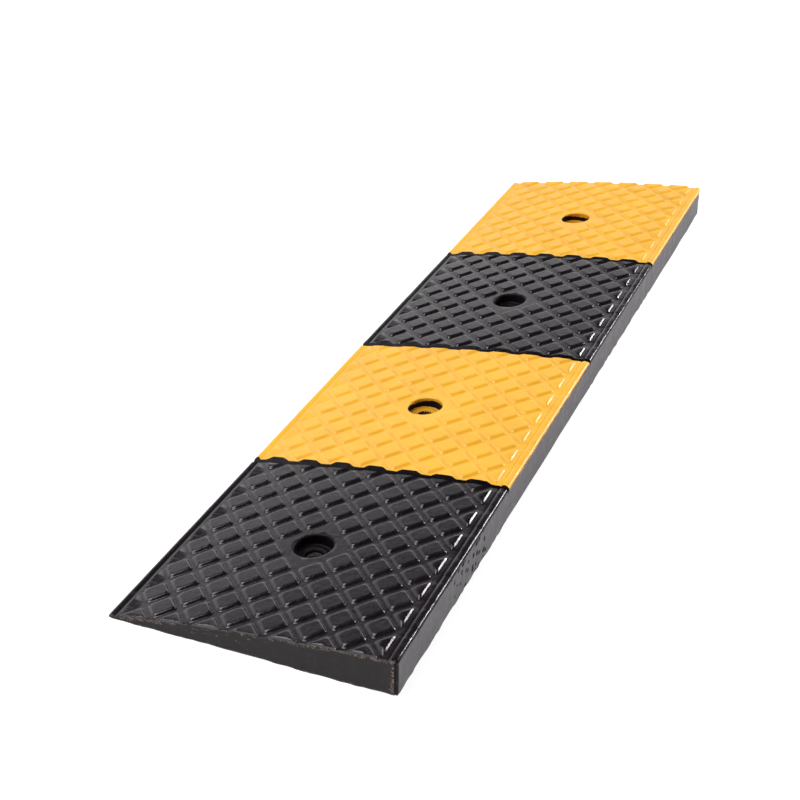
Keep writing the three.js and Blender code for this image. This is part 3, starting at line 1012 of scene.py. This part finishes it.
class KERBRAMP_OT_stage(bpy.types.Operator):
    """Lay the pale floor and set up the soft lights and the camera"""

    bl_idname = "kerb_ramp.stage"
    bl_label = "Stage"

    def execute(self, context):
        stage, colours = context.scene.kerb_ramp_stage, context.scene.kerb_ramp_colours
        reach = 5.0
        edge = np.linspace(-reach, reach, 21)
        x, y = np.meshgrid(edge, edge)
        floor_points = np.stack([x, y, np.full_like(x, -0.05 * MM)], axis=-1)
        at = np.arange(x.size).reshape(x.shape)
        quads = np.stack([at[:-1, :-1], at[:-1, 1:], at[1:, 1:], at[1:, :-1]], axis=-1)
        floor = new_piece("pale_floor", floor_points.reshape(-1, 3), [quads.reshape(-1, 4)])
        floor.data.materials.append(studio_floor(colours, stage.floor_glow))
        floor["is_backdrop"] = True
        world = bpy.data.worlds.new("soft_white")
        world.use_nodes = True
        tree = world.node_tree
        direction = add_node(tree, "TexCoord").outputs["Generated"]
        height = add_node(tree, "SeparateXYZ", {"Vector": direction}).outputs["Z"]
        towards = {0: direction, 1: (-0.4, 0.3, 0.0)}
        leftness = add_node(tree, "VectorMath", towards, operation="DOT_PRODUCT").outputs["Value"]
        leftness = combine(tree, "MAXIMUM", leftness, 0.0)
        drawn_up = combine(tree, "SUBTRACT", height, leftness)
        glow = spread(tree, drawn_up, -0.15, 0.33, stage.horizon, stage.ceiling)
        tree.links.new(glow, tree.nodes["Background"].inputs["Strength"])
        tree.nodes["Background"].inputs["Color"].default_value = (1, 1, 1, 1)
        context.scene.world = world
        for name, (place, size, brightness) in SOFTBOXES.items():
            softbox(name, place, size, brightness)
        camera = bpy.data.objects.new("camera", bpy.data.cameras.new("camera"))
        camera.location = stage.camera_place
        camera.rotation_euler = stage.camera_turn
        camera.data.lens = stage.lens
        camera.data.sensor_width = 36
        camera.data.clip_end = 50
        context.scene.collection.objects.link(camera)
        context.scene.camera = camera
        context.scene.view_settings.view_transform = "Standard"
        return {"FINISHED"}


def softbox(name, place, size, brightness):
    """A rectangular area light turned to the middle of the strip. Its power is pi times its
    brightness times its area."""
    light = bpy.data.lights.new(name, "AREA")
    light.shape = "RECTANGLE"
    light.size, light.size_y = size
    light.energy = math.pi * brightness * size[0] * size[1]
    lamp = bpy.data.objects.new(name, light)
    lamp.location = place
    lamp.rotation_euler = (-Vector(place)).to_track_quat("-Z", "Y").to_euler()
    bpy.context.scene.collection.objects.link(lamp)


SOFTBOXES = {  # place, width and height, brightness
    "key_softbox": ((-1.15, -0.55, 2.25), (1.9, 1.9), 5.6),
    "front_softbox": ((0.95, -2.0, 1.65), (1.8, 1.4), 0.7),
    "low_right_softbox": ((1.8, 2.3, 1.15), (1.3, 0.6), 30),
}


class KERBRAMP_PT_pieces(bpy.types.Panel):
    """Lists the sizes, the colours and the pieces in the 3D view's sidebar"""

    bl_label = "Kerb Ramp"
    bl_space_type = "VIEW_3D"
    bl_region_type = "UI"
    bl_category = "Kerb Ramp"

    def draw(self, context):
        for group in ("kerb_ramp_sizes", "kerb_ramp_colours", "kerb_ramp_stage"):
            box = self.layout.box()
            values = getattr(context.scene, group)
            for name in values.__annotations__:
                box.prop(values, name)
        for operator in OPERATORS:
            self.layout.operator(operator.bl_idname)


GROUPS = {
    "kerb_ramp_sizes": KerbRampSizes,
    "kerb_ramp_colours": KerbRampColours,
    "kerb_ramp_stage": KerbRampStage,
}
OPERATORS = [
    KERBRAMP_OT_moulded_body,
    KERBRAMP_OT_yellow_facings,
    KERBRAMP_OT_bolt_washers,
    KERBRAMP_OT_stage,
]


def register():
    for cls in (*GROUPS.values(), *OPERATORS, KERBRAMP_PT_pieces):
        bpy.utils.register_class(cls)
    for name, group in GROUPS.items():
        setattr(bpy.types.Scene, name, bpy.props.PointerProperty(type=group))


def unregister():
    for name in GROUPS:
        delattr(bpy.types.Scene, name)
    for cls in (KERBRAMP_PT_pieces, *reversed(OPERATORS), *reversed(list(GROUPS.values()))):
        bpy.utils.unregister_class(cls)


def main():
    register()
    bpy.ops.kerb_ramp.moulded_body()
    bpy.ops.kerb_ramp.yellow_facings()
    bpy.ops.kerb_ramp.bolt_washers()
    bpy.ops.kerb_ramp.stage()


if __name__ == "__main__":
    main()
